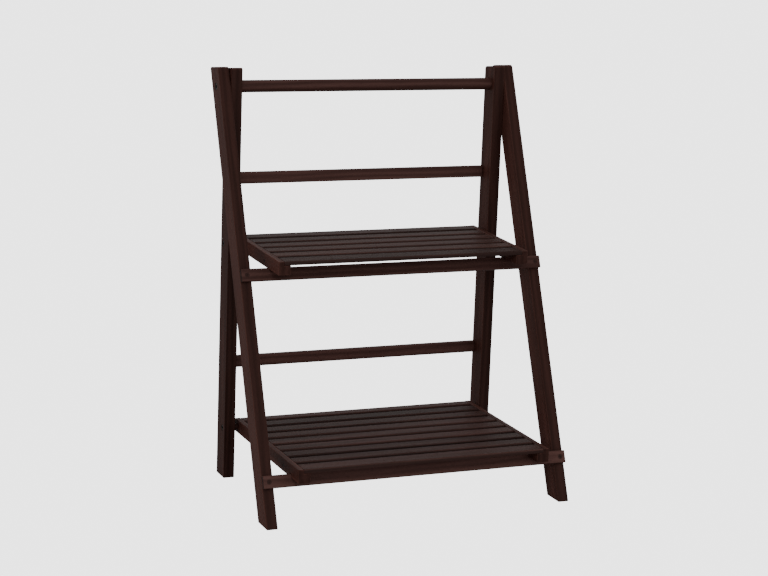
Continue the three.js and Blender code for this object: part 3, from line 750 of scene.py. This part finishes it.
def rail(level, shelf, side, sign):
    """A shelf's side rail, with the seat for the slats and the hook for the crossbar."""
    front = PIVOT_FROM_REAR - shelf["depth"]
    middle = (front + PIVOT_FROM_REAR) / 2
    x = sign * (RAIL_OUTSIDE - RAIL_THICKNESS / 2)
    size = (RAIL_THICKNESS, shelf["depth"], RAIL_HEIGHT)
    piece = block(f"{level}_rail_{side}_wood", size, (0, middle, RAIL_TOP - RAIL_HEIGHT / 2))
    step = RAIL_THICKNESS - RAIL_LIP
    seat = block("seat", (step + 0.002, shelf["depth"] + 0.01, 0.02),
                 (-sign * (RAIL_LIP / 2 + 0.001), middle, SLAT_SEAT + 0.01))
    cut_away(piece, seat, hook_cutter(shelf))
    ease(piece, RAIL_EDGE)
    cut_away(
        piece,
        bolt_bore(0, Vector((0, 0, 0))),
        rod("screw_seat", SCREW_SEAT, 2 * SCREW_SEAT_DEPTH,
            (sign * RAIL_THICKNESS / 2, front + STRETCHER_BACK, STRETCHER_Z), 32),
    )
    slide(piece, (x, 0, 0))
    hang(piece, shelf)
    dress(piece, f"{level}_shelf_rail_{side}", f"{level}_shelf", WOODS["rail"])


def stretcher(level, shelf):
    front = PIVOT_FROM_REAR - shelf["depth"]
    size = (2 * (RAIL_INSIDE - REST_GAP), STRETCHER_DEPTH, STRETCHER_HEIGHT)
    piece = block(f"{level}_stretcher_wood", size, (0, front + STRETCHER_BACK, STRETCHER_Z))
    ease(piece, RAIL_EDGE)
    hang(piece, shelf)
    dress(piece, f"{level}_shelf_stretcher", f"{level}_shelf", WOODS["bar"])


def slat_blank(name, width):
    length = 2 * (RAIL_OUTSIDE - RAIL_LIP - REST_GAP)
    middle = RAIL_TOP - SLAT_THICKNESS / 2
    piece = block(name, (length, width, SLAT_THICKNESS), (0, 0, middle))

    def long_top_edge(place, way):
        return abs(way.x) > 0.9 and place.z > middle

    round_edges(piece, long_top_edge, SLAT_ROUND, 4)
    ease(piece, SLAT_EDGE)
    return piece


def slats(level, shelf):
    """Lays the slats from front to rear, each planed narrower where it faces another."""
    count = shelf["slats"]
    rest = shelf["depth"] - FRONT_SLAT - shelf["rear_slat"] - (count - 1) * SLAT_SPACE
    inner = rest / (count - 2)
    widths = [FRONT_SLAT] + [inner] * (count - 2) + [shelf["rear_slat"]]
    pattern = slat_blank("inner_slat", inner - 2 * SLAT_PLANED)
    start = PIVOT_FROM_REAR - shelf["depth"]
    for index, width in enumerate(widths):
        name = f"{level}_slat_{index + 1}_wood"
        first, last = index == 0, index == count - 1
        if first or last:
            piece = slat_blank(name, width - SLAT_PLANED)
            aside = -SLAT_PLANED / 2 if first else SLAT_PLANED / 2
        else:
            piece = copy_of(pattern, name)
            aside = 0
        slide(piece, (0, start + width / 2 + aside, 0))
        hang(piece, shelf)
        dress(piece, f"{level}_slat_{index + 1}", f"{level}_shelf", WOODS["slat"])
        start += width + SLAT_SPACE
    discard(pattern)


# ------------------------------------------------------------------ bolts, nuts and screws

# Every fastener is made lying along X at the origin, with its head out to the right.
def set_down(piece, place, turn=0.0):
    """Turns a finished fastener about Z and puts it in its place."""
    hold(piece)
    piece.rotation_euler = (0, 0, turn)
    piece.location = place
    bpy.ops.object.transform_apply(location=True, rotation=True, scale=True)


def pick_inner_end(piece):
    """Picks the flat end of the piece that lies furthest in, to the left."""
    hold(piece)
    bpy.ops.object.mode_set(mode="EDIT")
    bpy.ops.mesh.select_mode(type="FACE")
    bpy.ops.mesh.select_all(action="DESELECT")
    bpy.ops.object.mode_set(mode="OBJECT")
    end = min(face.center.x for face in piece.data.polygons)
    for face in piece.data.polygons:
        face.select = face.normal.x < -0.9 and face.center.x < end + 0.00001
    bpy.ops.object.mode_set(mode="EDIT")


def draw_in(length, narrow=1.0):
    """Draws the picked end further in, and makes it smaller."""
    bpy.ops.mesh.extrude_region_move(TRANSFORM_OT_translate={"value": (-length, 0, 0)})
    bpy.ops.transform.resize(value=(1, narrow, narrow), center_override=(0, 0, 0))


def socket_bolt(name, head, head_height, length):
    bolt = rod(name, head, head_height, (-head_height / 2, 0, 0), 48)
    ease(bolt, BOLT_EDGE, 3)
    pick_inner_end(bolt)
    bpy.ops.mesh.inset(thickness=head - BOLT_EDGE - BOLT_SHANK)
    draw_in(length - head_height - BOLT_EDGE)
    draw_in(BOLT_EDGE, 0.8)
    bpy.ops.object.mode_set(mode="OBJECT")
    cut_away(bolt, rod("hexagon_socket", head / 2, head_height, (0, 0, 0), 6))
    return bolt


def wood_screw(name, length):
    screw = rod(name, SCREW_HEAD, SCREW_RIM, (-SCREW_RIM / 2, 0, 0), 40)
    pick_inner_end(screw)
    draw_in(SCREW_CONE, SCREW_SHANK / SCREW_HEAD)
    draw_in(length - SCREW_RIM - SCREW_CONE - SCREW_TIP)
    draw_in(SCREW_TIP, 0.08)
    bpy.ops.object.mode_set(mode="OBJECT")
    cut_away(
        screw,
        block("slot", (2 * CROSS_DEPTH, CROSS_WIDTH, CROSS_LENGTH), (0, 0, 0)),
        block("cross_slot", (2 * CROSS_DEPTH, CROSS_LENGTH, CROSS_WIDTH), (0, 0, 0)),
    )
    return screw


def ring(name, radius, thickness, eased):
    piece = rod(name, radius, thickness, (0, 0, 0), 48)
    ease(piece, eased, 2)
    cut_away(piece, rod("bore", BOLT_BORE, thickness + 0.002, (0, 0, 0), 24))
    return piece


def hex_nut(name):
    """A six-sided nut whose corners are rounded off at both ends."""
    corner = NUT_ACROSS_FLATS / 2 / math.cos(math.pi / 6)
    nut = rod(name, corner, NUT_THICKNESS, (0, 0, 0), 6)
    dome = rod("dome", NUT_DOME, NUT_DOME, (0, 0, 0), 48)
    ease(dome, NUT_DOME_EDGE, 3)
    carve(nut, dome, "INTERSECT")
    cut_away(nut, rod("bore", BOLT_BORE, NUT_THICKNESS + 0.002, (0, 0, 0), 24))
    return nut


def outward(sign):
    """The turn that points a fastener's head to its own side."""
    return 0.0 if sign > 0 else math.pi


def hinge_hardware():
    head = HALF_WIDTH - HINGE_HEAD_SINK
    dowel_end = REAR_LEG_INSIDE + DOWEL_SEAT - REST_GAP
    length = head - dowel_end + HINGE_BOLT_BITE
    bolt = socket_bolt("hinge_bolt", HINGE_HEAD, HINGE_HEAD_HEIGHT, length)
    washer = ring("hinge_washer", WASHER, SLIDE_GAP - 2 * REST_GAP, WASHER_EDGE)
    for side, sign in SIDES.items():
        piece = copy_of(bolt, f"hinge_bolt_{side}_steel")
        set_down(piece, (sign * head, HINGE.y, HINGE.z), outward(sign))
        dress(piece, f"hinge_bolt_{side}", "rear_frame", BLACKENED)
        piece = copy_of(washer, f"hinge_washer_{side}_steel")
        set_down(piece, (sign * (REAR_LEG_OUTSIDE + SLIDE_GAP / 2), HINGE.y, HINGE.z))
        dress(piece, f"hinge_washer_{side}", "rear_frame", BLACKENED)
    discard(bolt, washer)


def pivot_hardware():
    head = REAR_LEG_OUTSIDE - PIVOT_HEAD_SINK
    tip = RAIL_INSIDE - REST_GAP - NUT_THICKNESS - PIVOT_PAST_NUT
    sleeve = REAR_LEG_INSIDE - RAIL_OUTSIDE - 2 * REST_GAP
    patterns = {
        "bolt": (socket_bolt("pivot_bolt", PIVOT_HEAD, PIVOT_HEAD_HEIGHT, head - tip), head),
        "spacer": (ring("pivot_spacer", SPACER, sleeve, SPACER_EDGE),
                   (REAR_LEG_INSIDE + RAIL_OUTSIDE) / 2),
        "nut": (hex_nut("pivot_nut"), RAIL_INSIDE - REST_GAP - NUT_THICKNESS / 2),
    }
    for level, shelf in SHELVES.items():
        for side, sign in SIDES.items():
            for kind, (pattern, x) in patterns.items():
                piece = copy_of(pattern, f"{level}_pivot_{kind}_{side}_steel")
                set_down(piece, (sign * x, 0, 0), outward(sign))
                hang(piece, shelf)
                finish = BROWNED if kind == "spacer" else BLACKENED
                dress(piece, f"{level}_pivot_{kind}_{side}", "rear_frame", finish)
    discard(*(pattern for pattern, _ in patterns.values()))


def screws():
    bite = REST_GAP + SCREW_BITE
    forward = wood_screw("crossbar_screw", CROSSBAR_THICKNESS + bite)
    through_leg = wood_screw("rear_bar_screw", LEG_THICKNESS + bite)
    through_rail = wood_screw("rail_screw", RAIL_THICKNESS + bite)
    front = HINGE.y - CROSSBAR_FACE + SCREW_SINK
    for level, shelf in SHELVES.items():
        ahead = PIVOT_FROM_REAR - shelf["depth"] + STRETCHER_BACK
        for side, sign in SIDES.items():
            piece = copy_of(forward, f"crossbar_{level}_screw_{side}_steel")
            place = (sign * FRONT_LEG_X, front, HINGE.z - shelf["crossbar_down"])
            set_down(piece, place, -math.pi / 2)
            lean(piece, -FRONT_LEAN, HINGE)
            dress(piece, f"crossbar_{level}_screw_{side}", "front_frame", BROWNED)

            piece = copy_of(through_leg, f"rear_bar_{level}_screw_{side}_steel")
            place = (sign * (REAR_LEG_OUTSIDE - SCREW_SINK), HINGE.y + REAR_BAR_BACK,
                     HINGE.z - REAR_BAR_DOWN[level])
            set_down(piece, place, outward(sign))
            dress(piece, f"rear_bar_{level}_screw_{side}", "rear_frame", BROWNED)

            piece = copy_of(through_rail, f"{level}_shelf_screw_{side}_steel")
            set_down(piece, (sign * (RAIL_OUTSIDE - SCREW_SINK), ahead, STRETCHER_Z),
                     outward(sign))
            hang(piece, shelf)
            dress(piece, f"{level}_shelf_screw_{side}", f"{level}_shelf", BROWNED)
    discard(forward, through_leg, through_rail)


# ------------------------------------------------------------------ the whole stand

for side, sign in SIDES.items():
    front_leg(side, sign)
    rear_leg(side, sign)
top_dowel()
hinge_hardware()
pivot_hardware()
screws()
for level, shelf in SHELVES.items():
    crossbar(level, shelf["crossbar_down"])
    rear_bar(level, REAR_BAR_DOWN[level])
    stretcher(level, shelf)
    for side, sign in SIDES.items():
        rail(level, shelf, side, sign)
    slats(level, shelf)
